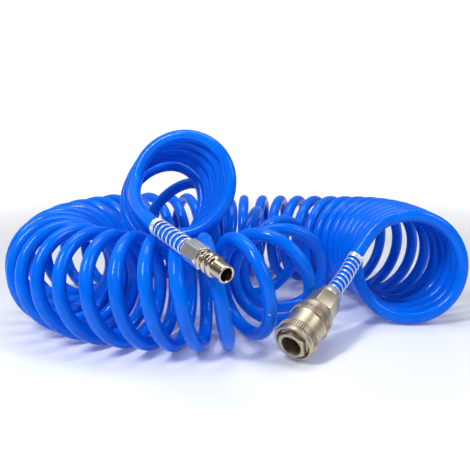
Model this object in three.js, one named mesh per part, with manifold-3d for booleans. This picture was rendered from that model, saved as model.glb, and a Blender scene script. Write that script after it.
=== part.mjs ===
// A coiled polyurethane air hose with a quick-connect plug on one end and a
// quick-connect socket on the other. Millimetres, +Z up, standing on z = 0.
// The coil lies in a spiral: a right-hand run, a back run, a left bend, a front
// run, a U-turn and a middle run that climbs into a raised coil.

import * as THREE from "three";
import { mergeVertices } from "three/addons/utils/BufferGeometryUtils.js";
import Module from "manifold-3d";

const wasm = await Module();
wasm.setup();

// ---- driving dimensions -------------------------------------------------------

const HOSE_RADIUS = 4;
const HOSE_BORE_RADIUS = 2.7;
const HOSE_SIDES = 10;
const COIL_SIDES = 16;
const COIL_RINGS_PER_STATION = 3;
const ROUND_SIDES = 32;
const SMALL_SIDES = 20;
const JOINT_STEP = 0.03; // station share left open between two coil solids
const FLOOR_SNAP = 1.6; // coil walls lower than this are flattened onto the floor
const FOOTPRINT_CENTRE = [-1.3, -14.6]; // where the origin stands among the stations

// The coil's axis: x, y, z, ring radius, and the ring's heading and tilt in degrees.
const COIL_STATIONS = [
  [113.5, -44, 38, 34, 90, -9],
  [113.5, -20, 38, 34, 93, -8],
  [110, 4.5, 38, 34, 102, -5],
  [99, 31, 37.5, 33.5, 119, -2],
  [76, 57.5, 36.2, 32.2, 138, 0],
  [42, 77, 35.2, 31.2, 157, 0],
  [3, 84, 35, 31, 175, 0],
  [-38, 79, 36, 32, 197, 0],
  [-82, 61.5, 37.5, 33, 219, 2],
  [-109, 27, 37.5, 33, 243, 4],
  [-118, -9, 37, 32.5, 268, 5],
  [-111, -42, 36, 31.5, 293, 6],
  [-87, -69, 35, 31, 317, 7],
  [-54, -83, 34.5, 30.5, 340, 7],
  [-23, -87, 34.5, 30.5, 357, 6],
  [-1, -81.5, 34, 30, 378, 2],
  [12.5, -64.6, 34.5, 29, 405, 0],
  [28.5, -42, 34, 28.5, 444, 1],
  [29.5, -11, 35, 28.5, 482, 3],
  [6, 9, 40, 28.5, 528, 13],
  [-23, 10, 51, 29.3, 562, 21],
  [-47, 5, 66, 30.8, 590, 26],
  [-47.8, -8.5, 74.5, 31.2, 611, 22],
  [-41, -24, 83.5, 31.4, 618, 20],
  [-32, -41, 93, 31.5, 620, 19],
];

// The coil's named solids: first station, last station, and how much their outline
// is drawn in where a neighbour passes between the open turns.
const COIL_RUNS = {
  coil_right_run: [0.32, 2.5, 0],
  coil_back_right: [2.5, 5, 0],
  coil_back_run: [5, 7.5, 0],
  coil_left_back: [7.5, 9.5, 2],
  coil_left_front: [9.5, 12, 0],
  coil_front_run: [12, 14.8, 0.4],
  coil_u_turn_front: [14.8, 16.8, 2.2],
  coil_u_turn_back: [16.8, 18.8, 0.5],
  coil_middle_run: [18.8, 20.6, 1.5],
  coil_climbing_run: [20.6, 22.3, 3],
  coil_raised_run: [22.3, 23.8, 0],
};

// Each fitting's mouth and the far end of its straight part; the guard and the
// free hose carry on along hand-chosen points.
const SOCKET_MOUTH = [31.3, -109.5, 11.4];
const SOCKET_BACK = [58.2, -72.5, 29.6];
const SOCKET_TAIL = [
  [66.5, -61.3, 35.3],
  [72.6, -52, 40.8],
  [78, -45.5, 47],
  [82.6, -43, 53.6],
  [88.6, -41, 61.4],
  [96, -40, 67.4],
  [103.6, -39.2, 70.2],
];
const PLUG_MOUTH = [-3.8, -145.5, 59.4];
const PLUG_BACK = [-44, -92, 74.2];
const PLUG_TAIL = [
  [-49, -84.6, 76.3],
  [-55.6, -71, 79.2],
  [-60.4, -57.5, 83.4],
  [-62.8, -46, 88.2],
  [-63, -38, 92.5],
];

// Socket, measured back from its mouth plane along its axis.
const SOCKET = {
  noseFront: -2,
  noseHexBack: 1.6,
  noseHexFlats: 15.4,
  noseRadius: 8.2,
  boreRadius: 5.9,
  ballStation: 7,
  ballRadius: 1.6,
  ballHoleRadius: 1.75,
  ballCentreRadius: 6.7,
  ballCount: 6,
  seatFront: 14,
  seatBack: 15.6,
  seatRadius: 4.2,
  chamberRadius: 6.3,
  noseBack: 28.5,
  rearFront: 24.6,
  flangeBack: 28.6,
  flangeRadius: 10,
  rearNeck: 8.4,
  rearSocketRadius: 7.8,
  hexFront: 29.4,
  hexBack: 42,
  hexFlats: 17,
  nutFront: 42.3,
  nutBack: 48.6,
  nutRadius: 6.9,
  barbRadius: 2.35,
  airwayRadius: 1.6,
  hoseStart: 43,
  hoseStop: 51.8,
  guardStart: 49,
  guardLength: 37.5,
};
const SLEEVE = {
  outer: 12,
  length: 27.5,
  lip: 9.8,
  land: 8.5,
  rampFront: 3.5,
  landFront: 6.2,
  landBack: 11.5,
  chamber: 10.4,
};

// Plug, measured back from its tip.
const PLUG = {
  tipRadius: 4.5,
  boreRadius: 3.3,
  ridgeRadius: 5.6,
  neckRadius: 4.5,
  collarRadius: 5.5,
  airwayRadius: 1.6,
  barbRadius: 2.35,
  nutFront: 20.3,
  nutBack: 33,
  nutFlats: 11,
  hoseStart: 24,
  guardStart: 33.4,
  guardLength: 34,
};
const GUARD_INNER = 4.35;
const GUARD_OUTER = 5.1;

// ---- finishes -----------------------------------------------------------------

function finish(color, roughness, metalness) {
  return { color, roughness, metalness };
}

const BLUE_HOSE = finish(0x0a5fe8, 0.22, 0);
const CHAMPAGNE = finish(0xcfc09a, 0.3, 1);
const ZINC = finish(0xdcdcd6, 0.35, 1);
const STEEL = finish(0xc9ccce, 0.25, 1);
const BLACK_RUBBER = finish(0x17181a, 0.7, 0);

const model = new THREE.Group();
model.position.set(-FOOTPRINT_CENTRE[0], -FOOTPRINT_CENTRE[1], 0);

function addPart(parent, name, geometry, look) {
  const mesh = new THREE.Mesh(geometry, new THREE.MeshStandardMaterial(look));
  mesh.name = name;
  parent.add(mesh);
  return mesh;
}

// ---- solids -------------------------------------------------------------------

function solidOf(geometry) {
  const bare = geometry.clone();
  bare.deleteAttribute("normal");
  bare.deleteAttribute("uv");
  const merged = mergeVertices(bare, 1e-4);
  const corners = merged.index.array;
  const kept = [];
  for (let i = 0; i < corners.length; i += 3) {
    const [a, b, c] = [corners[i], corners[i + 1], corners[i + 2]];
    if (a !== b && b !== c && c !== a) {
      kept.push(a, b, c);
    }
  }
  return new wasm.Manifold(new wasm.Mesh({
    numProp: 3,
    vertProperties: new Float32Array(merged.attributes.position.array),
    triVerts: new Uint32Array(kept),
  }));
}

function geometryOf(solid) {
  const mesh = solid.getMesh();
  const geometry = new THREE.BufferGeometry();
  geometry.setAttribute("position", new THREE.BufferAttribute(new Float32Array(mesh.vertProperties), 3));
  geometry.setIndex(new THREE.BufferAttribute(new Uint32Array(mesh.triVerts), 1));
  geometry.computeVertexNormals();
  return geometry;
}

// A closed outline of [radius, height] points, outer wall upwards, turned round +Z.
function turned(outline, sides = ROUND_SIDES) {
  const points = [...outline, outline[0]].map(([r, z]) => new THREE.Vector2(r, z));
  return new THREE.LatheGeometry(points, sides).rotateX(Math.PI / 2);
}

// A ring with a rectangular section.
function collar(inner, outer, from, to, sides = ROUND_SIDES) {
  return turned([[inner, from], [outer, from], [outer, to], [inner, to]], sides);
}

// A bar along +Z with the given number of sides.
function bar(radius, from, to, sides = ROUND_SIDES) {
  const geometry = new THREE.CylinderGeometry(radius, radius, to - from, sides);
  return geometry.rotateX(Math.PI / 2).translate(0, 0, (from + to) / 2);
}

function hexBar(flats, from, to) {
  return bar(flats / 2 / Math.cos(Math.PI / 6), from, to, 6);
}

function flatUp(hex) {
  return hex.rotateZ(Math.PI / 6);
}

function roundRing(radius, wire, height, sides = SMALL_SIDES) {
  return new THREE.TorusGeometry(radius, wire, 8, sides).translate(0, 0, height);
}

// ---- coil ---------------------------------------------------------------------

function catmullRom(before, from, to, after, share) {
  const linear = to - before;
  const square = 2 * before - 5 * from + 4 * to - after;
  const cube = 3 * from - before - 3 * to + after;
  return 0.5 * (2 * from + linear * share + square * share ** 2 + cube * share ** 3);
}

function stationRow(index) {
  const last = COIL_STATIONS.length - 1;
  if (index < 0) {
    return COIL_STATIONS[0].map((value, k) => 2 * value - COIL_STATIONS[1][k]);
  }
  if (index > last) {
    return COIL_STATIONS[last].map((value, k) => 2 * value - COIL_STATIONS[last - 1][k]);
  }
  return COIL_STATIONS[index];
}

// The ring at a fractional station: its centre, its radius and its three directions.
function ringAt(station) {
  const first = Math.min(Math.floor(station), COIL_STATIONS.length - 2);
  const rows = [first - 1, first, first + 1, first + 2].map(stationRow);
  const values = rows[0].map((_, k) =>
    catmullRom(rows[0][k], rows[1][k], rows[2][k], rows[3][k], station - first));
  const [x, y, z, radius, heading, tilt] = values;
  const turn = THREE.MathUtils.degToRad(heading);
  const rise = THREE.MathUtils.degToRad(tilt);
  const along = new THREE.Vector3(
    Math.cos(turn) * Math.cos(rise), Math.sin(turn) * Math.cos(rise), Math.sin(rise));
  const up = new THREE.Vector3(
    -Math.cos(turn) * Math.sin(rise), -Math.sin(turn) * Math.sin(rise), Math.cos(rise));
  const across = new THREE.Vector3().crossVectors(up, along);
  return { centre: new THREE.Vector3(x, y, z), radius, along, up, across };
}

// One closed solid of the coil's outer shape between two stations.
function coilSolid([from, to, drawnIn]) {
  const rings = Math.ceil((to - from) * COIL_RINGS_PER_STATION);
  const geometry = new THREE.CylinderGeometry(1, 1, 1, COIL_SIDES, rings);
  geometry.rotateY(Math.PI / COIL_SIDES);
  const position = geometry.attributes.position;
  for (let i = 0; i < position.count; i += 1) {
    const share = position.getY(i) + 0.5;
    const ring = ringAt(from + JOINT_STEP + share * (to - from - JOINT_STEP));
    const reach = (ring.radius + HOSE_RADIUS - drawnIn) / Math.cos(Math.PI / COIL_SIDES);
    const point = ring.centre.clone();
    point.addScaledVector(ring.across, position.getX(i) * reach);
    point.addScaledVector(ring.up, -position.getZ(i) * reach);
    if (point.z < FLOOR_SNAP + drawnIn) {
      point.z = 0;
    }
    position.setXYZ(i, point.x, point.y, point.z);
  }
  geometry.computeVertexNormals();
  return geometry;
}

for (const [name, stations] of Object.entries(COIL_RUNS)) {
  addPart(model, name, coilSolid(stations), BLUE_HOSE);
}

// ---- free hose and spring guards ----------------------------------------------

function vector(point) {
  return new THREE.Vector3(...point);
}

function axisPoint(mouth, back, distance) {
  const direction = vector(back).sub(vector(mouth)).normalize();
  return vector(mouth).addScaledVector(direction, distance);
}

function tailCurve(mouth, back, start, points) {
  const straight = [start, start + 4].map((distance) => axisPoint(mouth, back, distance));
  return new THREE.CatmullRomCurve3([...straight, ...points.map(vector)], false, "centripetal");
}

function roundShape(radius, sides) {
  const corners = [];
  for (let i = 0; i < sides; i += 1) {
    const angle = (2 * Math.PI * i) / sides;
    corners.push(new THREE.Vector2(radius * Math.cos(angle), radius * Math.sin(angle)));
  }
  return corners;
}

function extrudedAlong(curve, shape, steps) {
  return new THREE.ExtrudeGeometry(shape, { steps, bevelEnabled: false, extrudePath: curve });
}

// The hose slipped over the barb: a solid tail with a blind bore in its end.
function hoseTail(curve, steps, mouth, back, boreFrom, boreTo) {
  const shape = new THREE.Shape(roundShape(HOSE_RADIUS, HOSE_SIDES));
  const bore = bar(HOSE_BORE_RADIUS, boreFrom, boreTo, HOSE_SIDES);
  placeOnAxis(bore, mouth, back);
  return geometryOf(solidOf(extrudedAlong(curve, shape, steps)).subtract(solidOf(bore)));
}

function placeOnAxis(geometry, mouth, back) {
  const direction = vector(back).sub(vector(mouth)).normalize();
  const turn = new THREE.Quaternion().setFromUnitVectors(new THREE.Vector3(0, 0, 1), direction);
  geometry.applyQuaternion(turn);
  geometry.translate(...mouth);
}

// The part of a curve that starts and ends nearest to two lengths along it.
function stretchOf(curve, from, to, count) {
  const whole = curve.getLength();
  const points = [];
  for (let i = 0; i <= count; i += 1) {
    points.push(curve.getPointAt((from + ((to - from) * i) / count) / whole));
  }
  return new THREE.CatmullRomCurve3(points, false, "centripetal");
}

function springGuard(curve, from, to) {
  const shape = new THREE.Shape(roundShape(GUARD_OUTER, HOSE_SIDES));
  shape.holes.push(new THREE.Path(roundShape(GUARD_INNER, HOSE_SIDES)));
  return extrudedAlong(stretchOf(curve, from, to, 10), shape, 10);
}

const SOCKET_TAIL_STEPS = 14;
const PLUG_TAIL_STEPS = 20;

const socketCurve = tailCurve(SOCKET_MOUTH, SOCKET_BACK, SOCKET.hoseStart, SOCKET_TAIL);
const socketHose = hoseTail(socketCurve, SOCKET_TAIL_STEPS, SOCKET_MOUTH, SOCKET_BACK,
  SOCKET.hoseStart - 1, SOCKET.hoseStop);
addPart(model, "hose_tail_socket", socketHose, BLUE_HOSE);
const socketGuardFrom = SOCKET.guardStart - SOCKET.hoseStart;
addPart(model, "socket_spring_guard",
  springGuard(socketCurve, socketGuardFrom, socketGuardFrom + SOCKET.guardLength), ZINC);

const PLUG_STRAIGHT = [axisPoint(PLUG_MOUTH, PLUG_BACK, 46).toArray(), PLUG_BACK];
const plugCurve = tailCurve(PLUG_MOUTH, PLUG_BACK, PLUG.hoseStart, [...PLUG_STRAIGHT, ...PLUG_TAIL]);
const plugHose = hoseTail(plugCurve, PLUG_TAIL_STEPS, PLUG_MOUTH, PLUG_BACK,
  PLUG.hoseStart - 1, PLUG.hoseStart + 8.8);
addPart(model, "hose_tail_plug", plugHose, BLUE_HOSE);
const plugGuardFrom = PLUG.guardStart - PLUG.hoseStart;
addPart(model, "plug_spring_guard",
  springGuard(plugCurve, plugGuardFrom, plugGuardFrom + PLUG.guardLength), ZINC);

// ---- fittings -----------------------------------------------------------------

function fittingGroup(mouth, back) {
  const group = new THREE.Group();
  const direction = vector(back).sub(vector(mouth)).normalize();
  group.quaternion.setFromUnitVectors(new THREE.Vector3(0, 0, 1), direction);
  group.position.set(...mouth);
  model.add(group);
  return group;
}

const plug = fittingGroup(PLUG_MOUTH, PLUG_BACK);
const socket = fittingGroup(SOCKET_MOUTH, SOCKET_BACK);

function plugBody() {
  const p = PLUG;
  return turned([
    [p.boreRadius, 0],
    [p.tipRadius, 0],
    [p.tipRadius, 8.6],
    [p.ridgeRadius, 9.4],
    [p.ridgeRadius, 11.4],
    [p.neckRadius, 12.2],
    [p.neckRadius, 13.4],
    [p.ridgeRadius, 14],
    [p.ridgeRadius, 15.6],
    [p.neckRadius, 16.2],
    [p.neckRadius, 18],
    [p.collarRadius, 18.4],
    [p.collarRadius, 20],
    [p.barbRadius, 20],
    [p.barbRadius, 32],
    [p.airwayRadius, 32],
    [p.airwayRadius, 16],
    [p.boreRadius, 14],
  ]);
}

function plugNut() {
  const body = solidOf(hexBar(PLUG.nutFlats, PLUG.nutFront, PLUG.nutBack));
  const front = bar(HOSE_BORE_RADIUS, PLUG.nutFront - 1, PLUG.hoseStart, SMALL_SIDES);
  const rear = bar(HOSE_RADIUS + 0.35, PLUG.hoseStart - 0.3, PLUG.nutBack + 1, SMALL_SIDES);
  return geometryOf(body.subtract(solidOf(front)).subtract(solidOf(rear)));
}

addPart(plug, "plug_body", plugBody(), CHAMPAGNE);
addPart(plug, "plug_nut", plugNut(), ZINC);

function noseProfile() {
  const s = SOCKET;
  return turned([
    [s.boreRadius, s.noseFront],
    [s.noseRadius - 0.6, s.noseFront],
    [s.noseRadius, s.noseHexBack],
    [s.noseRadius, 20.5],
    [7.4, 21],
    [7.4, s.noseBack],
    [s.chamberRadius, s.noseBack],
    [s.chamberRadius, s.seatBack],
    [s.seatRadius, s.seatBack],
    [s.seatRadius, s.seatFront],
    [s.boreRadius, s.seatFront],
    [s.boreRadius, 12.5],
    [7.1, 12.5],
    [7.1, 10.4],
    [s.boreRadius, 10.4],
  ]);
}

function ballHole(index) {
  const hole = new THREE.CylinderGeometry(SOCKET.ballHoleRadius, SOCKET.ballHoleRadius, 6, 16);
  hole.rotateZ(Math.PI / 2);
  hole.translate(7.5, 0, SOCKET.ballStation);
  return hole.rotateZ((2 * Math.PI * index) / SOCKET.ballCount);
}

function noseBody() {
  const s = SOCKET;
  const hexFront = solidOf(flatUp(hexBar(s.noseHexFlats, s.noseFront, s.noseHexBack)));
  let body = solidOf(noseProfile()).add(hexFront);
  body = body.subtract(solidOf(bar(s.boreRadius, s.noseFront - 1, s.noseHexBack + 1)));
  for (let i = 0; i < s.ballCount; i += 1) {
    body = body.subtract(solidOf(ballHole(i)));
  }
  return geometryOf(body);
}

function rearBody() {
  const s = SOCKET;
  const inside = s.rearSocketRadius;
  const cavityBack = s.noseBack + 1.2;
  const turnedPart = solidOf(turned([
    [inside, s.rearFront],
    [s.flangeRadius, s.rearFront],
    [s.flangeRadius, s.flangeBack],
    [s.rearNeck, s.hexFront],
    [s.rearNeck, s.hexBack],
    [s.barbRadius, s.hexBack],
    [s.barbRadius, s.hoseStop - 0.6],
    [s.airwayRadius, s.hoseStop - 0.6],
    [s.airwayRadius, cavityBack],
    [inside, cavityBack],
  ]));
  const hex = solidOf(flatUp(hexBar(s.hexFlats, s.hexFront, s.hexBack)));
  const airway = solidOf(bar(s.airwayRadius, s.hexFront - 1, s.hexBack + 1, SMALL_SIDES));
  const cavity = solidOf(bar(inside, s.hexFront - 1, cavityBack));
  return geometryOf(turnedPart.add(hex.subtract(airway).subtract(cavity)));
}

function socketNut() {
  const s = SOCKET;
  return turned([
    [HOSE_BORE_RADIUS, s.nutFront],
    [s.nutRadius, s.nutFront],
    [s.nutRadius, s.nutBack - 1],
    [s.nutRadius - 1, s.nutBack],
    [HOSE_RADIUS + 0.35, s.nutBack],
    [HOSE_RADIUS + 0.35, s.nutFront + 0.4],
    [HOSE_BORE_RADIUS, s.nutFront + 0.4],
  ]);
}

function lockingSleeve() {
  const s = SLEEVE;
  return turned([
    [s.lip, 0],
    [s.outer - 0.4, 0],
    [s.outer, 0.4],
    [s.outer, 7.6],
    [s.outer - 0.8, 8.4],
    [s.outer - 0.8, 17.4],
    [s.outer, 18.2],
    [s.outer, s.length - 1.2],
    [s.outer - 0.8, s.length],
    [s.chamber, s.length],
    [s.chamber, s.landBack],
    [s.land, s.landBack],
    [s.land, s.landFront],
    [s.lip - 0.1, s.rampFront],
  ]);
}

function valvePoppet() {
  return turned([
    [0, 9.4],
    [2.6, 8.6],
    [3.5, 8.6],
    [3.5, 16],
    [5.4, 16.6],
    [5.4, 18.2],
    [1.6, 18.2],
    [1.6, 21],
    [0, 21],
  ], SMALL_SIDES);
}

function ballDirection(index) {
  const angle = (2 * Math.PI * index) / SOCKET.ballCount;
  return [Math.cos(angle), Math.sin(angle)];
}

addPart(socket, "socket_nose_body", noseBody(), CHAMPAGNE);
addPart(socket, "socket_rear_body", rearBody(), CHAMPAGNE);
addPart(socket, "socket_nut", socketNut(), ZINC);
addPart(socket, "locking_sleeve", lockingSleeve(), CHAMPAGNE);
addPart(socket, "sleeve_retaining_ring", collar(8.5, 9.35, 2.9, 3.9), STEEL);
addPart(socket, "sleeve_spring", collar(8.75, 10, 11.9, 24.2, SMALL_SIDES), STEEL);
addPart(socket, "valve_poppet", geometryOf(solidOf(valvePoppet())), CHAMPAGNE);
addPart(socket, "valve_spring", collar(4.2, 5.2, 18.6, 29.4, SMALL_SIDES), STEEL);
addPart(socket, "plug_seal_ring", roundRing(6, 0.9, 11.45), BLACK_RUBBER);
addPart(socket, "body_joint_seal", collar(5.6, 7.4, 28.8, 29.4, SMALL_SIDES), BLACK_RUBBER);

for (let i = 0; i < SOCKET.ballCount; i += 1) {
  const [x, y] = ballDirection(i);
  const ball = new THREE.SphereGeometry(SOCKET.ballRadius, 12, 8);
  ball.translate(x * SOCKET.ballCentreRadius, y * SOCKET.ballCentreRadius, SOCKET.ballStation);
  addPart(socket, `locking_ball_${i + 1}`, ball, STEEL);
}

export default model;
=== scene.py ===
"""Coiled air hose: a blue recoil tube laid in a loop, with a plug and a sleeved socket on its ends."""

import math

import bpy
import numpy as np
from mathutils import Matrix, Vector


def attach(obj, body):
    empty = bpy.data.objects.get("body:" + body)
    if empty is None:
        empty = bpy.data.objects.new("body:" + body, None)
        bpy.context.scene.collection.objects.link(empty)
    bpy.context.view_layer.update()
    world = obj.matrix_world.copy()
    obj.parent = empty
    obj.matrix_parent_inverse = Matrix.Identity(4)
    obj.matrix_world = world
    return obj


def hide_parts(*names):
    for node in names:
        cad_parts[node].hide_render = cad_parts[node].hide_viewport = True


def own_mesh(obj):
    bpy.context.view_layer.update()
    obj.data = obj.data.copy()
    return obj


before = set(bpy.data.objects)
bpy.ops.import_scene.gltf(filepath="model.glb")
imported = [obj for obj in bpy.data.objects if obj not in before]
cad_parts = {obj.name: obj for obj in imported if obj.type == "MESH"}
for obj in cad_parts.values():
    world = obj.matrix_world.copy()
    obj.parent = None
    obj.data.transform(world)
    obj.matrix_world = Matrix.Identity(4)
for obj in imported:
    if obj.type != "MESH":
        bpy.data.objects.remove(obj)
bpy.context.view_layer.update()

MM = 0.001
ROOT = "hose_and_fittings"

# ---- camera --------------------------------------------------------------------

CAMERA_PLACE = (0.0013, -0.4054, 0.130)  # metres
CAMERA_DOWN = 10.6  # degrees below level
CAMERA_LENS = 45.957  # mm, on a 36 mm sensor

# ---- the coil's route, in mm and degrees ------------------------------------------

FOOTPRINT_CENTRE = np.array((-1.3, -14.6, 0.0))
# ring centre x, y, z, ring radius, heading, tilt, gap from one turn to the next
COIL_STATIONS = (
    (113.5, -44, 38, 34, 90, -9, 9.4),
    (113.5, -20, 38, 34, 93, -8, 9.8),
    (110, 4.5, 38, 34, 102, -5, 10.8),
    (99, 31, 37.5, 33.5, 119, -2, 12.2),
    (76, 57.5, 36.2, 32.2, 138, 0, 13.8),
    (42, 77, 35.2, 31.2, 157, 0, 14.5),
    (3, 84, 35, 31, 175, 0, 15.2),
    (-38, 79, 36, 32, 197, 0, 15.8),
    (-82, 61.5, 37.5, 33, 219, 2, 16),
    (-109, 27, 37.5, 33, 243, 4, 16),
    (-118, -9, 37, 32.5, 268, 5, 15.5),
    (-111, -42, 36, 31.5, 293, 6, 15),
    (-87, -69, 35, 31, 317, 7, 14.2),
    (-54, -83, 34.5, 30.5, 340, 7, 13.5),
    (-23, -87, 34.5, 30.5, 357, 6, 14),
    (-1, -81.5, 34, 30, 378, 2, 19),
    (12.5, -64.6, 34.5, 29, 405, 0, 25),
    (28.5, -42, 34, 28.5, 444, 1, 26.5),
    (29.5, -11, 35, 28.5, 482, 3, 28),
    (6, 9, 40, 28.5, 528, 13, 26.5),
    (-23, 10, 51, 29.3, 562, 21, 25),
    (-47, 5, 66, 30.8, 590, 26, 23),
    (-47.8, -8.5, 74.5, 31.2, 611, 22, 14.5),
    (-41, -24, 83.5, 31.4, 618, 20, 10),
    (-32, -41, 93, 31.5, 620, 19, 9.4),
)
TURNS = 48 + 100 / 360
FIRST_PHASE = 75
POINTS_PER_TURN = 48
ROUTE_STEPS = 200
TAIL_STEPS = 8
WIRE_POINTS_PER_TURN = 20
HOSE_RADIUS = 4.0

SOCKET_MOUTH = (31.3, -109.5, 11.4)
SOCKET_BACK = (58.2, -72.5, 29.6)
SOCKET_TAIL = (
    (66.5, -61.3, 35.3),
    (72.6, -52, 40.8),
    (78, -45.5, 47),
    (82.6, -43, 53.6),
    (88.6, -41, 61.4),
    (96, -40, 67.4),
    (103.6, -39.2, 70.2),
)
PLUG_MOUTH = (-3.8, -145.5, 59.4)
PLUG_BACK = (-44, -92, 74.2)
PLUG_TAIL = (
    (-49, -84.6, 76.3),
    (-55.6, -71, 79.2),
    (-60.4, -57.5, 83.4),
    (-62.8, -46, 88.2),
    (-63, -38, 92.5),
)

# ---- fittings, in mm back from the mouth ---------------------------------------------

SOCKET_HOSE_FROM = 43
SOCKET_NUT = (42.3, 48.6)
SOCKET_GUARD_FROM = 48.8
PLUG_HOSE_FROM = 24
PLUG_NUT = (20.3, 33)
PLUG_GUARD_FROM = 33.1
SOCKET_GUARD_LENGTH = 37.7
SOCKET_GUARD_OPEN_TURNS = 8
PLUG_GUARD_LENGTH = 34.2
PLUG_GUARD_OPEN_TURNS = 7
GUARD_RADIUS = 4.75
GUARD_WIRE = 0.43
GUARD_BAND_TURNS = 4
SLEEVE_SPRING = (11.9, 24.2)
SLEEVE_TRAVEL = 5.0
VALVE_SPRING = (18.6, 29.4)
VALVE_TRAVEL = 4.5
BALL_COUNT = 6
BALL_RADIUS = 1.6
BALL_HOLE_RADIUS = 1.75
BALL_CENTRE_RADIUS = 6.7
BALL_STATION = 7


def unit(vector):
    return np.asarray(vector, float) / np.linalg.norm(vector)


class Fitting:
    """A coupling's own axis: its mouth, the way back along it, and the turn that puts a piece there."""

    def __init__(self, mouth, back):
        self.mouth = np.array(mouth, float) - FOOTPRINT_CENTRE
        self.along = unit(np.array(back, float) - np.array(mouth, float))
        turn = Vector((0, 0, 1)).rotation_difference(Vector(self.along))
        self.matrix = Matrix.Translation(Vector(self.mouth * MM)) @ turn.to_matrix().to_4x4()

    def at(self, distance):
        return self.mouth + self.along * distance


SOCKET = Fitting(SOCKET_MOUTH, SOCKET_BACK)
PLUG = Fitting(PLUG_MOUTH, PLUG_BACK)


# ---- lines ------------------------------------------------------------------------


def smooth_line(rows, steps):
    """A smooth line through every row, its ends carried straight on."""
    rows = np.array(rows, float)
    rows = np.vstack([2 * rows[0] - rows[1], rows, 2 * rows[-1] - rows[-2]])
    t = np.linspace(0, 1, steps, endpoint=False)[:, None]
    line = []
    for a, b, c, d in zip(rows, rows[1:], rows[2:], rows[3:]):
        square = 2 * a - 5 * b + 4 * c - d
        cube = 3 * b - a - 3 * c + d
        line.append(0.5 * (2 * b + (c - a) * t + square * t**2 + cube * t**3))
    return np.vstack([*line, rows[-2:-1]])


def lengths_along(points):
    return np.concatenate([[0], np.cumsum(np.linalg.norm(np.diff(points, axis=0), axis=1))])


def coil_points():
    """The tube's centreline through every turn of the coil."""
    rows = smooth_line(COIL_STATIONS, ROUTE_STEPS)
    gaps = (rows[1:, 6] + rows[:-1, 6]) / 2
    turns = np.concatenate([[0], np.cumsum(np.diff(lengths_along(rows[:, :3])) / gaps)])
    turns *= TURNS / turns[-1]
    at = np.linspace(0, TURNS, int(TURNS * POINTS_PER_TURN) + 1)
    x, y, z, radius, heading, tilt = (np.interp(at, turns, rows[:, k]) for k in range(6))
    heading, tilt = np.radians(heading), np.radians(tilt)
    level = np.stack([np.cos(heading), np.sin(heading), 0 * heading], 1)
    along = level * np.cos(tilt)[:, None] + np.outer(np.sin(tilt), (0, 0, 1))
    up = np.outer(np.cos(tilt), (0, 0, 1)) - level * np.sin(tilt)[:, None]
    across = np.cross(up, along)
    phase = np.radians(FIRST_PHASE) + 2 * np.pi * at
    spoke = np.cos(phase)[:, None] * across + np.sin(phase)[:, None] * up
    return np.stack([x, y, z], 1) + radius[:, None] * spoke - FOOTPRINT_CENTRE


def tail_points(fitting, distances, points):
    straight = [fitting.at(distance) for distance in distances]
    return straight + [np.array(point, float) - FOOTPRINT_CENTRE for point in points]


def hose_points():
    """The whole tube's centreline, from inside the socket's nut to inside the plug's."""
    coil = coil_points()
    socket = tail_points(SOCKET, (SOCKET_HOSE_FROM, SOCKET_HOSE_FROM + 4), SOCKET_TAIL)
    plug = tail_points(PLUG, (PLUG_HOSE_FROM, PLUG_HOSE_FROM + 4, 46), (PLUG_BACK, *PLUG_TAIL))
    first = smooth_line([*socket, coil[0], coil[3]], TAIL_STEPS)[: -TAIL_STEPS - 1]
    last = smooth_line([coil[-4], coil[-1], *reversed(plug)], TAIL_STEPS)[TAIL_STEPS + 1 :]
    return np.vstack([first, coil, last])


# ---- modelling ----------------------------------------------------------------------


def pick(piece):
    """Leaves only this piece selected, and makes it the active one."""
    if bpy.context.object and bpy.context.object.mode != "OBJECT":
        bpy.ops.object.mode_set(mode="OBJECT")
    bpy.ops.object.select_all(action="DESELECT")
    if piece is not None:
        piece.select_set(True)
        bpy.context.view_layer.objects.active = piece
    return piece


def fresh(name):
    """Names the primitive that was just added."""
    piece = bpy.context.object
    piece.name = name
    piece.data.name = name
    return piece


def edit():
    bpy.ops.object.mode_set(mode="EDIT")
    bpy.ops.mesh.select_mode(type="VERT")
    bpy.ops.mesh.select_all(action="SELECT")


def tidy_mesh():
    """Joins doubled points and points every face outwards, then leaves edit mode."""
    bpy.ops.mesh.select_all(action="SELECT")
    bpy.ops.mesh.remove_doubles(threshold=0.002 * MM)
    bpy.ops.mesh.normals_make_consistent(inside=False)
    bpy.ops.object.mode_set(mode="OBJECT")


def turned(name, outline, sides=72, solid=False):
    """A lathe-turned piece about Z: a circle is drawn out ring by ring through (radius, height) pairs."""
    pick(None)
    radius, height = outline[0]
    bpy.ops.mesh.primitive_circle_add(vertices=sides, radius=radius * MM, location=(0, 0, height * MM))
    piece = fresh(name)
    edit()
    for next_radius, next_height in outline[1:] + ([] if solid else outline[:1]):
        lift = (0, 0, (next_height - height) * MM)
        bpy.ops.mesh.extrude_region_move(TRANSFORM_OT_translate={"value": lift})
        grow = next_radius / radius
        bpy.ops.transform.resize(value=(grow, grow, 1), center_override=(0, 0, next_height * MM))
        radius, height = next_radius, next_height
    if solid:
        bpy.ops.mesh.select_all(action="SELECT")
        bpy.ops.mesh.fill_holes(sides=0)
    tidy_mesh()
    return piece


def six_sided_bar(name, flats, front, back, turn=0):
    """A plain hexagon bar with its long corners slightly rounded."""
    pick(None)
    bpy.ops.mesh.primitive_cylinder_add(
        vertices=6, radius=corner_radius(flats) * MM, depth=(back - front) * MM,
        location=(0, 0, (front + back) / 2 * MM), rotation=(0, 0, math.radians(turn)),
    )
    return bevelled(fresh(name), 0.25, 2)


def corner_radius(flats):
    return flats / 2 / math.cos(math.pi / 6)


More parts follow.
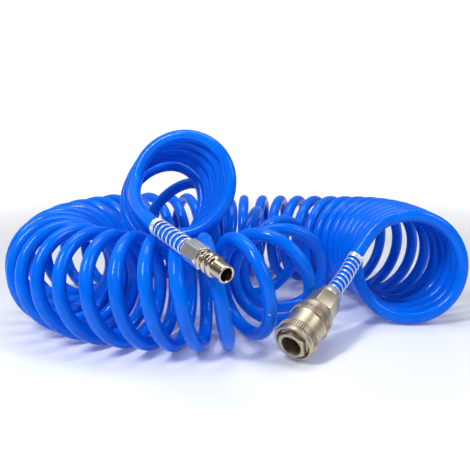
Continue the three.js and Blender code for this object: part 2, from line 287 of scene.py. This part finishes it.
def hexagon(name, flats, front, back):
    """A hexagon bar whose corners are turned off at both ends, as on a nut."""
    piece = six_sided_bar(name, flats, front, back)
    face, corner = flats / 2 - 0.2, corner_radius(flats) + 0.1
    chamfer = (corner_radius(flats) - face) / 2
    crown = turned("corner_cutter", [
        (face, front),
        (corner, front + chamfer),
        (corner, back - chamfer),
        (face, back),
    ], solid=True)
    return carved(piece, crown, "INTERSECT")


def carved(piece, tool, operation="DIFFERENCE"):
    """Cuts or trims the piece with another solid, which is used up."""
    pick(piece)
    modifier = piece.modifiers.new("carve", "BOOLEAN")
    modifier.object = tool
    modifier.operation = operation
    modifier.solver = "EXACT"
    bpy.ops.object.modifier_apply(modifier=modifier.name)
    bpy.data.objects.remove(tool)
    return piece


def bevelled(piece, width, segments=2, angle=30):
    pick(piece)
    modifier = piece.modifiers.new("edge", "BEVEL")
    modifier.width = width * MM
    modifier.segments = segments
    modifier.limit_method = "ANGLE"
    modifier.angle_limit = math.radians(angle)
    modifier.use_clamp_overlap = True
    bpy.ops.object.modifier_apply(modifier=modifier.name)
    return piece


def rod(name, radius, front, back, sides=48):
    return turned(name, [(radius, front), (radius, back)], sides, solid=True)


def six_flats(piece, flats, front, back):
    """Mills six flats on a turned piece between front and back, with the corners slightly rounded."""
    waste = rod("waste", corner_radius(flats) + 3, front, back, 64)
    core = six_sided_bar("kept", flats, front - 2, back + 2, turn=30)
    return carved(piece, carved(waste, core))


def raised_teeth(piece, front, back):
    """Straight knurling: every second strip of the band between front and back is pushed out."""
    pick(piece)
    edit()
    bpy.ops.mesh.select_all(action="DESELECT")
    bpy.ops.mesh.select_mode(type="FACE")
    bpy.ops.object.mode_set(mode="OBJECT")
    step = 2 * math.pi / SLEEVE_SIDES
    for face in piece.data.polygons:
        x, y, z = face.center
        strip = int((math.atan2(y, x) + math.pi) / step)
        in_band = front * MM < z < back * MM and math.hypot(x, y) > KNURLED_BEYOND * MM
        face.select = in_band and strip % 2 == 0
    bpy.ops.object.mode_set(mode="EDIT")
    bpy.ops.mesh.inset(thickness=TOOTH_RIM * MM, depth=TOOTH_HEIGHT * MM, use_individual=True)
    tidy_mesh()
    return piece


def tube(name, points, radius, resolution):
    """A round bar that follows the points, which are in mm."""
    pick(None)
    line = bpy.data.curves.new(name, "CURVE")
    line.dimensions = "3D"
    line.bevel_depth = radius * MM
    line.bevel_resolution = resolution
    line.use_fill_caps = True
    spline = line.splines.new("POLY")
    spline.points.add(len(points) - 1)
    for knot, point in zip(spline.points, points):
        knot.co = (*(np.asarray(point) * MM), 1)
    piece = bpy.data.objects.new(name, line)
    bpy.context.scene.collection.objects.link(piece)
    pick(piece)
    bpy.ops.object.convert(target="MESH")
    piece = fresh(name)
    bpy.ops.object.shade_smooth()
    return piece


def wound_wire(name, line, radius, wire, turns_at):
    """Wire wound round a line. turns_at gives (distance along the line, turns so far) pairs."""
    distance = lengths_along(line)
    knots = np.array(turns_at, float)
    count = int(knots[-1, 1] * WIRE_POINTS_PER_TURN) + 1
    turns = np.linspace(0, knots[-1, 1], count)
    along = np.interp(turns, knots[:, 1], knots[:, 0])
    centre = np.stack([np.interp(along, distance, line[:, k]) for k in range(3)], 1)
    tangent = np.gradient(centre, axis=0)
    tangent /= np.linalg.norm(tangent, axis=1)[:, None]
    side = np.cross(tangent, (0, 0, 1.0))
    side /= np.linalg.norm(side, axis=1)[:, None]
    up = np.cross(side, tangent)
    angle = 2 * np.pi * turns[:, None]
    return tube(name, centre + radius * (np.cos(angle) * side + np.sin(angle) * up), wire, 2)


def smooth(piece, angle=32):
    pick(piece)
    bpy.ops.object.shade_smooth_by_angle(angle=math.radians(angle))


def settle(piece, fitting):
    """Puts a piece made about Z onto its coupling's axis, and leaves its place in its mesh."""
    pick(piece)
    piece.matrix_world = fitting.matrix @ piece.matrix_world
    bpy.ops.object.transform_apply(location=True, rotation=True, scale=True)
    return piece


def fit(piece, finish, slot, body, *nodes):
    """Gives a finished piece its material, its body and the CAD nodes that it stands for."""
    piece.data.materials.clear()
    piece.data.materials.append(finish)
    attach(piece, body)
    if nodes:
        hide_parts(*nodes)
    return piece


# ---- shader writing -------------------------------------------------------------------


class Value:
    """One output of a material's nodes, so that sums on it can be written plainly."""

    def __init__(self, shader, socket):
        self.shader = shader
        self.socket = socket

    def math(self, operation, other):
        return self.shader.node("ShaderNodeMath", {"operation": operation}, {0: self, 1: other})

    def __add__(self, other):
        return self.math("ADD", other)

    __radd__ = __add__

    def __mul__(self, other):
        return self.math("MULTIPLY", other)

    __rmul__ = __mul__

    def __gt__(self, other):
        return self.math("GREATER_THAN", other)

    def __lt__(self, other):
        return self.math("LESS_THAN", other)


class Finish:
    """A material under construction. Constants go on its shader's own sockets."""

    def __init__(self, name, **constants):
        self.material = bpy.data.materials.new(name)
        self.material.use_nodes = True
        self.tree = self.material.node_tree
        self.shader = next(n for n in self.tree.nodes if n.type == "BSDF_PRINCIPLED")
        for socket, value in constants.items():
            self.shader.inputs[socket.replace("_", " ")].default_value = value

    def node(self, kind, settings, inputs, output=0):
        made = self.tree.nodes.new(kind)
        for name, value in settings.items():
            setattr(made, name, value)
        for name, value in inputs.items():
            if isinstance(value, Value):
                self.tree.links.new(value.socket, made.inputs[name])
            else:
                made.inputs[name].default_value = value
        return Value(self, made.outputs[output])

    def feed(self, socket, value):
        self.tree.links.new(value.socket, self.shader.inputs[socket])

    def coordinates(self, fitting=None):
        """Object coordinates, turned onto a coupling's own axis where one is given."""
        place = self.node("ShaderNodeTexCoord", {}, {}, "Object")
        if fitting is None:
            return place
        back = fitting.matrix.inverted()
        return self.node("ShaderNodeMapping", {}, {
            "Vector": place, "Location": back.to_translation(), "Rotation": back.to_euler(),
        })

    def part(self, vector, letter):
        return self.node("ShaderNodeSeparateXYZ", {}, {"Vector": vector}, letter)

    def noise(self, vector, scale, detail=3.0, roughness=0.5):
        return self.node("ShaderNodeTexNoise", {}, {
            "Vector": vector, "Scale": scale, "Detail": detail, "Roughness": roughness,
        })

    def band(self, value, low, high):
        """Nothing below low, all above high, and a straight slope between them."""
        return self.node("ShaderNodeMapRange", {"clamp": True}, {
            "Value": value, "From Min": low, "From Max": high,
        })

    def mix(self, share, first, second):
        return self.node("ShaderNodeMix", {"data_type": "RGBA"}, {0: share, 6: first, 7: second}, 2)

    def bump(self, height, strength, distance):
        return self.node("ShaderNodeBump", {}, {
            "Height": height, "Strength": strength, "Distance": distance,
        })


HOSE_BLUES = ((0.0, 0.125, 0.76, 1), (0.0, 0.155, 0.86, 1))
# pale specks: partly dust, partly painted glints
GLINT_AND_DUST_SPECKS = (0.6, 0.85, 1.0, 1)
# painted shade laid into the knurl's grooves, where shade falls between the teeth
GROOVE_PAINTED_SHADE = (0.09, 0.07, 0.045, 1)
CHAMPAGNE = ((0.52, 0.45, 0.34, 1), (0.64, 0.57, 0.44, 1), (0.38, 0.31, 0.21, 1))
SILVER = ((0.80, 0.81, 0.80, 1), (0.93, 0.93, 0.91, 1), (0.66, 0.67, 0.66, 1))
STEEL = ((0.16, 0.155, 0.15, 1), (0.24, 0.235, 0.23, 1), (0.10, 0.10, 0.10, 1))
VALLEY_RADII = (11.62, 11.92)


def blue_hose_finish():
    """Glossy polyurethane tube: deep blue, faintly cloudy, with a few pale specks that are partly dust
    and partly painted glints, and rubbed patches.
    """
    finish = Finish(
        "blue_polyurethane", IOR=1.45, Specular_IOR_Level=0.2, Coat_Weight=0.04, Coat_Roughness=0.05
    )
    place = finish.coordinates()
    cloud = finish.noise(place, 45.0, 3.0)
    fine = finish.noise(place, 900.0, 2.0)
    color = finish.mix(finish.band(cloud, 0.35, 0.65), *HOSE_BLUES)
    # scattered pale specks, partly dust and partly painted glints
    cells = {"Vector": place, "Scale": 95.0}
    near = finish.node("ShaderNodeTexVoronoi", {}, cells, "Distance")
    lot = finish.part(finish.node("ShaderNodeTexVoronoi", {}, cells, "Color"), "X")
    glint_and_dust_speck = (near < 0.045) * (lot > 0.9)
    finish.feed("Base Color", finish.mix(glint_and_dust_speck, color, GLINT_AND_DUST_SPECKS))
    rub = finish.band(finish.noise(place, 160.0, 4.0), 0.45, 0.75)
    finish.feed("Roughness", 0.13 + 0.1 * rub + 0.05 * fine)
    finish.feed("Normal", finish.bump(fine + 0.6 * cloud, 0.12, 0.00012))
    return finish.material


def turned_metal_finish(name, fitting, colors, rough, valleys=None):
    """Plated metal with the fine rings that a lathe leaves round the coupling's axis.

    valleys are the two radii between which the grooves of a knurl are darkened with painted shade.
    """
    finish = Finish(name, Metallic=1.0)
    place = finish.coordinates(fitting)
    height = finish.part(place, "Z")
    rings = finish.node("ShaderNodeTexNoise", {"noise_dimensions": "1D"}, {
        "W": height * 5200.0, "Scale": 1.0, "Detail": 3.0, "Roughness": 0.6,
    })
    patch = finish.noise(place, 210.0, 4.0)
    stain = finish.band(finish.noise(place, 620.0, 5.0, 0.7), 0.56, 0.72)
    color = finish.mix(finish.band(patch, 0.35, 0.7), colors[0], colors[1])
    color = finish.mix(stain * 0.35, color, colors[2])
    if valleys is not None:
        # painted shade: the knurl's valleys between the teeth are darkened
        across, upwards = finish.part(place, "X"), finish.part(place, "Y")
        square = across * across + upwards * upwards
        dark = (square > (valleys[0] * MM) ** 2) * (square < (valleys[1] * MM) ** 2)
        color = finish.mix(dark * 0.55, color, GROOVE_PAINTED_SHADE)
    finish.feed("Base Color", color)
    finish.feed("Roughness", rough + 0.14 * patch + 0.1 * rings + 0.1 * stain)
    finish.feed("Normal", finish.bump(rings + 0.5 * patch, 0.3, 0.00004))
    return finish.material


def wire_finish():
    """Drawn spring wire, bright zinc, with faint streaks."""
    finish = Finish("bright_wire", Metallic=0.7)
    place = finish.coordinates()
    streak = finish.noise(place, 1500.0, 3.0)
    color = finish.mix(streak, (0.80, 0.82, 0.83, 1), (0.96, 0.96, 0.95, 1))
    finish.feed("Base Color", color)
    finish.feed("Roughness", 0.24 + 0.16 * streak)
    finish.feed("Normal", finish.bump(streak, 0.2, 0.00003))
    return finish.material


def rubber_finish():
    finish = Finish("nitrile_rubber")
    place = finish.coordinates()
    grain = finish.noise(place, 2600.0, 4.0)
    finish.feed("Base Color", finish.mix(grain, (0.010, 0.010, 0.011, 1), (0.026, 0.026, 0.028, 1)))
    finish.feed("Roughness", 0.5 + 0.25 * grain)
    finish.feed("Normal", finish.bump(grain, 0.25, 0.00004))
    return finish.material


def floor_finish():
    """A pale glossy tabletop that glows with painted light: faintly near the hose, which lightens its
    shadows, and strongly far off, so it fades into the white behind it.
    """
    finish = Finish("pale_tabletop", Specular_IOR_Level=0.5, Emission_Strength=0.26)
    place = finish.coordinates()
    reach = finish.node("ShaderNodeVectorMath", {"operation": "LENGTH"}, {0: place}, "Value")
    far = finish.band(reach, 0.3, 0.8)
    # painted light: the floor's glow, dim and bluish near the hose, bright far away
    finish.feed("Emission Color", finish.mix(far, (0.3, 0.33, 0.4, 1), (3.0, 3.0, 3.0, 1)))
    haze = finish.noise(place, 14.0, 2.0)
    finish.feed("Base Color", finish.mix(haze, (0.84, 0.86, 0.90, 1), (0.87, 0.885, 0.92, 1)))
    finish.feed("Roughness", 0.14 + 0.06 * haze)
    return finish.material


BLUE_HOSE = blue_hose_finish()
SOCKET_CHAMPAGNE = turned_metal_finish("champagne_nickel_socket", SOCKET, CHAMPAGNE, 0.3)
KNURLED_CHAMPAGNE = turned_metal_finish(
    "champagne_nickel_knurled", SOCKET, CHAMPAGNE, 0.3, VALLEY_RADII
)
PLUG_CHAMPAGNE = turned_metal_finish("champagne_nickel_plug", PLUG, CHAMPAGNE, 0.12)
SOCKET_SILVER = turned_metal_finish("bright_zinc_socket", SOCKET, SILVER, 0.2)
PLUG_SILVER = turned_metal_finish("bright_zinc_plug", PLUG, SILVER, 0.2)
SOCKET_STEEL = turned_metal_finish("ground_steel", SOCKET, STEEL, 0.14)
WIRE = wire_finish()
RUBBER = rubber_finish()

# ---- camera and hose ---------------------------------------------------------------------

bpy.ops.object.camera_add(location=CAMERA_PLACE, rotation=(math.radians(90 - CAMERA_DOWN), 0, 0))
camera = bpy.context.object
camera.name = "camera"
camera.data.lens = CAMERA_LENS
camera.data.sensor_width = 36
camera.data.clip_start = 0.01
bpy.context.scene.camera = camera

ROUTE = hose_points()
COIL_NODES = [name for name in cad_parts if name.startswith("coil_")]

hose = tube("hose", ROUTE, HOSE_RADIUS, 6)
fit(hose, BLUE_HOSE, "blue_hose", ROOT, "hose_tail_socket", "hose_tail_plug", *COIL_NODES)

# ---- plug -----------------------------------------------------------------------------------


def make_plug_body():
    body = turned("plug_body", [
        (3.3, 0.45),
        (3.7, 0),
        (4.2, 0),
        (4.5, 0.35),
        (4.5, 8.5),
        (5.15, 9.2),
        (5.6, 9.5),
        (5.6, 11.3),
        (5.2, 11.7),
        (4.5, 12.1),
        (4.5, 13.4),
        (5.6, 14.0),
        (5.6, 15.6),
        (4.55, 16.2),
        (4.5, 18.0),
        (5.5, 18.4),
        (5.5, 20.0),
        (2.35, 20.0),
        (2.35, 32.0),
        (1.6, 32.0),
        (1.6, 16.0),
        (3.3, 14.0),
    ], 80)
    bevelled(body, 0.12, 2)
    smooth(body)
    return settle(body, PLUG)


def make_plug_nut():
    front, back = PLUG_NUT
    nut = hexagon("plug_nut", 11, front, back)
    carved(nut, rod("hose_room", HOSE_RADIUS + 0.12, PLUG_HOSE_FROM - 0.1, back + 1))
    carved(nut, rod("barb_room", 2.5, front - 1, PLUG_HOSE_FROM + 1))
    bevelled(nut, 0.1, 1, 40)
    smooth(nut, 25)
    return settle(nut, PLUG)


def guard_line(points, start, length):
    """The stretch of the hose that a spring guard is wound on, start mm along it."""
    distance = lengths_along(points)
    at = np.linspace(start, start + length, 90)
    return np.stack([np.interp(at, distance, points[:, k]) for k in range(3)], 1)


def make_guard(name, points, start, length, open_turns):
    """A wire guard: one close turn at the nut, open turns, and a close-wound band at the hose end."""
    pitch = 2 * GUARD_WIRE + 0.02
    first, last = GUARD_WIRE, length - GUARD_WIRE
    turns_at = [
        (first, 0),
        (first + pitch, 1),
        (last - GUARD_BAND_TURNS * pitch, 1 + open_turns),
        (last, 1 + open_turns + GUARD_BAND_TURNS),
    ]
    return wound_wire(name, guard_line(points, start, length), GUARD_RADIUS, GUARD_WIRE, turns_at)


plug_body = fit(make_plug_body(), PLUG_CHAMPAGNE, "champagne_nickel", ROOT, "plug_body")
plug_nut = fit(make_plug_nut(), PLUG_SILVER, "bright_zinc", ROOT, "plug_nut")
PLUG_GUARD_START = PLUG_GUARD_FROM - PLUG_HOSE_FROM
plug_guard = make_guard(
    "plug_spring_guard", ROUTE[::-1], PLUG_GUARD_START, PLUG_GUARD_LENGTH, PLUG_GUARD_OPEN_TURNS
)
fit(plug_guard, WIRE, "bright_zinc", ROOT, "plug_spring_guard")

# ---- socket ---------------------------------------------------------------------------------

SLEEVE_SIDES = 112  # every second side becomes a knurl tooth
TOOTH_HEIGHT = 0.42
TOOTH_RIM = 0.17
KNURLED_BANDS = ((3.2, 7.2), (18.2, 21.8))
KNURLED_BEYOND = 11.5  # the radius outside which a face belongs to a band


def make_sleeve():
    sleeve = turned("locking_sleeve", [
        (9.8, 0.5),
        (10.3, 0),
        (11.1, 0),
        (11.5, 0.4),
        (11.5, 1.5),
        (11.1, 1.9),
        (11.1, 2.5),
        (11.7, 2.9),
        (11.7, 7.5),
        (11.2, 8.3),
        (11.2, 17.3),
        (11.7, 18.0),
        (11.7, 22.0),
        (11.45, 22.3),
        (11.45, 26.6),
        (10.9, 27.5),
        (10.4, 27.5),
        (10.4, 11.5),
        (8.5, 11.5),
        (8.5, 6.2),
        (9.7, 3.5),
    ], SLEEVE_SIDES)
    bevelled(sleeve, 0.15, 2, 35)
    for front, back in KNURLED_BANDS:
        raised_teeth(sleeve, front, back)
    smooth(sleeve, 28)
    return settle(sleeve, SOCKET)


def make_nose_body():
    nose = turned("socket_nose_body", [
        (5.9, -1.6),
        (5.9, 10.4),
        (7.1, 10.4),
        (7.1, 12.5),
        (5.9, 12.5),
        (5.9, 14.0),
        (4.2, 14.0),
        (4.2, 15.6),
        (6.3, 15.6),
        (6.3, 28.5),
        (7.4, 28.5),
        (7.4, 21.0),
        (8.2, 20.5),
        (8.2, 1.8),
        (8.9, 1.4),
        (8.9, -1.3),
        (7.8, -2.0),
        (6.3, -2.0),
    ], 64)
    six_flats(nose, 15.4, -2.5, 1.3)
    for index in range(BALL_COUNT // 2):
        pick(None)
        bpy.ops.mesh.primitive_cylinder_add(
            vertices=32, radius=BALL_HOLE_RADIUS * MM, depth=20 * MM,
            location=(0, 0, BALL_STATION * MM),
            rotation=(math.pi / 2, 0, math.pi / 2 + index * 2 * math.pi / BALL_COUNT),
        )
        carved(nose, bpy.context.object)
    bevelled(nose, 0.22, 3, 40)
    smooth(nose, 28)
    return settle(nose, SOCKET)


def make_rear_body():
    rear = turned("socket_rear_body", [
        (7.8, 24.6),
        (10.0, 24.6),
        (10.0, 28.6),
        (8.4, 29.2),
        (8.4, 29.6),
        (9.8, 30.3),
        (9.8, 41.1),
        (8.3, 42.0),
        (2.35, 42.0),
        (2.35, 51.2),
        (1.6, 51.2),
        (1.6, 29.7),
        (7.8, 29.7),
    ], 80)
    six_flats(rear, 17, 29.4, 42.5)
    bevelled(rear, 0.12, 2, 40)
    smooth(rear, 25)
    return settle(rear, SOCKET)


def make_socket_nut():
    front, back = SOCKET_NUT
    nut = turned("socket_nut", [
        (2.7, front),
        (6.4, front),
        (6.9, front + 0.5),
        (6.9, back - 2.4),
        (6.6, back - 2.2),
        (6.6, back - 0.7),
        (5.9, back),
        (4.2, back),
        (4.2, front + 0.4),
        (2.7, front + 0.4),
    ], 72)
    bevelled(nut, 0.12, 2)
    smooth(nut)
    return settle(nut, SOCKET)


def make_poppet():
    poppet = turned("valve_poppet", [
        (1.4, 8.9),
        (2.6, 8.6),
        (3.2, 8.6),
        (3.5, 9.0),
        (3.5, 15.9),
        (5.2, 16.6),
        (5.4, 16.9),
        (5.4, 18.2),
        (1.6, 18.2),
        (1.6, 21.0),
    ], 48, solid=True)
    bevelled(poppet, 0.1, 2)
    smooth(poppet)
    return settle(poppet, SOCKET)


def make_spring(name, span, radius, wire, turns):
    front, back = span
    length = back - front - 2 * wire
    line = np.stack([SOCKET.at(front + wire + length * t) for t in np.linspace(0, 1, 40)])
    end = 2 * wire + 0.05
    turns_at = [(0, 0), (end, 1), (length - end, turns - 1), (length, turns)]
    return wound_wire(name, line, radius, wire, turns_at)


def make_retaining_ring():
    ring = turned("sleeve_retaining_ring", [(8.5, 2.9), (9.35, 2.9), (9.35, 3.9), (8.5, 3.9)], 64)
    pick(None)
    bpy.ops.mesh.primitive_cube_add(
        size=1, location=(0, 9 * MM, 3.4 * MM), scale=(2.4 * MM, 3 * MM, 3 * MM)
    )
    carved(ring, bpy.context.object)
    bevelled(ring, 0.12, 2)
    smooth(ring)
    return settle(ring, SOCKET)


def make_seal(name, middle, height, wire):
    """A moulded ring whose round section has a thin parting line."""
    corners = 20
    outline = []
    for index in range(corners):
        angle = 2 * math.pi * index / corners
        reach = wire * (1.05 if index == 0 else 1.0)
        outline.append((middle + reach * math.cos(angle), height + reach * math.sin(angle)))
    ring = turned(name, outline, 64)
    smooth(ring, 60)
    return settle(ring, SOCKET)


def make_joint_seal():
    seal = turned("body_joint_seal", [(5.6, 28.8), (7.4, 28.8), (7.4, 29.4), (5.6, 29.4)], 64)
    bevelled(seal, 0.15, 2)
    smooth(seal)
    return settle(seal, SOCKET)


def make_ball(index):
    angle = 2 * math.pi * index / BALL_COUNT
    x, y = BALL_CENTRE_RADIUS * math.cos(angle), BALL_CENTRE_RADIUS * math.sin(angle)
    pick(None)
    bpy.ops.mesh.primitive_ico_sphere_add(
        subdivisions=4, radius=BALL_RADIUS * MM, location=(x * MM, y * MM, BALL_STATION * MM),
    )
    ball = fresh(f"locking_ball_{index + 1}")
    bpy.ops.object.shade_smooth()
    return settle(ball, SOCKET)


SLEEVE_BODY = "sliding_sleeve"
VALVE_BODY = "check_valve"

fit(make_sleeve(), KNURLED_CHAMPAGNE, "champagne_nickel", SLEEVE_BODY, "locking_sleeve")
fit(make_nose_body(), SOCKET_CHAMPAGNE, "champagne_nickel", ROOT, "socket_nose_body")
fit(make_rear_body(), SOCKET_CHAMPAGNE, "champagne_nickel", ROOT, "socket_rear_body")
fit(make_socket_nut(), SOCKET_SILVER, "bright_zinc", ROOT, "socket_nut")
fit(make_poppet(), SOCKET_STEEL, "spring_steel", VALVE_BODY, "valve_poppet")
fit(make_retaining_ring(), SOCKET_STEEL, "spring_steel", ROOT, "sleeve_retaining_ring")
fit(make_seal("plug_seal_ring", 6, 11.45, 0.9), RUBBER, "black_rubber", ROOT, "plug_seal_ring")
fit(make_joint_seal(), RUBBER, "black_rubber", ROOT, "body_joint_seal")
for number in range(BALL_COUNT):
    name = f"locking_ball_{number + 1}"
    fit(make_ball(number), SOCKET_STEEL, "spring_steel", f"ball_{number + 1}", name)

SOCKET_GUARD_START = SOCKET_GUARD_FROM - SOCKET_HOSE_FROM
socket_guard = make_guard(
    "socket_spring_guard", ROUTE, SOCKET_GUARD_START, SOCKET_GUARD_LENGTH, SOCKET_GUARD_OPEN_TURNS
)
fit(socket_guard, WIRE, "bright_zinc", ROOT, "socket_spring_guard")


def fit_spring(name, span, radius, wire, turns, travel):
    """A spring wound along the socket's axis over its span, given its own copy of its mesh."""
    spring = make_spring(name, span, radius, wire, turns)
    fit(spring, WIRE, "spring_steel", ROOT, name)
    length = span[1] - span[0]
    anchor = Vector(SOCKET.at(span[1]) * MM)
    (length - travel) / length
    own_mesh(spring)


fit_spring("sleeve_spring", SLEEVE_SPRING, 9.4, 0.45, 7, SLEEVE_TRAVEL)
fit_spring("valve_spring", VALVE_SPRING, 4.7, 0.35, 9, VALVE_TRAVEL)

SOCKET.at(SOCKET_HOSE_FROM) * MM

# ---- floor and light ---------------------------------------------------------------------------

FLOOR_RADIUS = 3.0  # metres, like every place below
FLOOR_DROP = 0.0001

pick(None)
bpy.ops.mesh.primitive_circle_add(
    vertices=96, radius=FLOOR_RADIUS, fill_type="NGON", location=(0, 0, -FLOOR_DROP)
)
floor = fresh("tabletop")
floor.data.materials.append(floor_finish())


def area_light(name, place, target, size, power):
    pick(None)
    bpy.ops.object.light_add(type="AREA", location=place)
    lamp = bpy.context.object
    lamp.name = name
    lamp.data.shape = "RECTANGLE"
    lamp.data.size, lamp.data.size_y = size
    lamp.data.energy = power
    lamp.rotation_euler = (Vector(target) - Vector(place)).to_track_quat("-Z", "Y").to_euler()


area_light("key_softbox", (-0.45, -0.5, 0.8), (0, 0, 0.05), (0.1, 0.4), 7.0)
area_light("right_softbox", (0.7, -0.35, 0.65), (0.05, 0, 0.05), (0.12, 0.4), 2.4)
area_light("top_softbox", (0.0, 0.1, 1.1), (0, 0, 0), (0.7, 0.4), 4.6)
area_light("front_fill", (0.0, -1.1, 0.45), (0, 0, 0.04), (0.9, 0.6), 1.5)
bpy.context.object.visible_glossy = False

world = bpy.data.worlds.new("white_room")
world.use_nodes = True
sky = world.node_tree
background = sky.nodes["Background"]
background.inputs["Color"].default_value = (0.97, 0.98, 1.0, 1)
SEEN_STRENGTH = 1.05  # of the white wall, as the camera sees it


def sky_node(kind, **settings):
    made = sky.nodes.new(kind)
    for name, value in settings.items():
        setattr(made, name, value)
    return made


def sky_slope(backwards, dark, bright):
    """Brightness that grows from the camera's side of the room to the white wall behind the hose."""
    slope = sky_node("ShaderNodeMapRange", interpolation_type="SMOOTHSTEP")
    for name, value in (("From Min", -0.35), ("From Max", 0.45), ("To Min", dark), ("To Max", bright)):
        slope.inputs[name].default_value = value
    sky.links.new(backwards, slope.inputs["Value"])
    return slope.outputs[0]


def sky_choice(test, otherwise, chosen):
    """Takes chosen for the rays that pass the test, and otherwise for the rest."""
    choice = sky_node("ShaderNodeMix", data_type="FLOAT")
    sky.links.new(test, choice.inputs[0])
    for index, value in ((2, otherwise), (3, chosen)):
        if isinstance(value, float):
            choice.inputs[index].default_value = value
        else:
            sky.links.new(value, choice.inputs[index])
    return choice.outputs[0]


direction = sky_node("ShaderNodeTexCoord").outputs["Generated"]
axes = sky_node("ShaderNodeSeparateXYZ")
sky.links.new(direction, axes.inputs[0])
ray = sky_node("ShaderNodeLightPath")
lighting = sky_slope(axes.outputs["Y"], 0.1, 0.2)
mirrored = sky_slope(axes.outputs["Y"], 0.02, 0.3)
strength = sky_choice(ray.outputs["Is Glossy Ray"], lighting, mirrored)
strength = sky_choice(ray.outputs["Is Camera Ray"], strength, SEEN_STRENGTH)
sky.links.new(strength, background.inputs["Strength"])
bpy.context.scene.world = world
bpy.context.scene.view_settings.view_transform = "Standard"
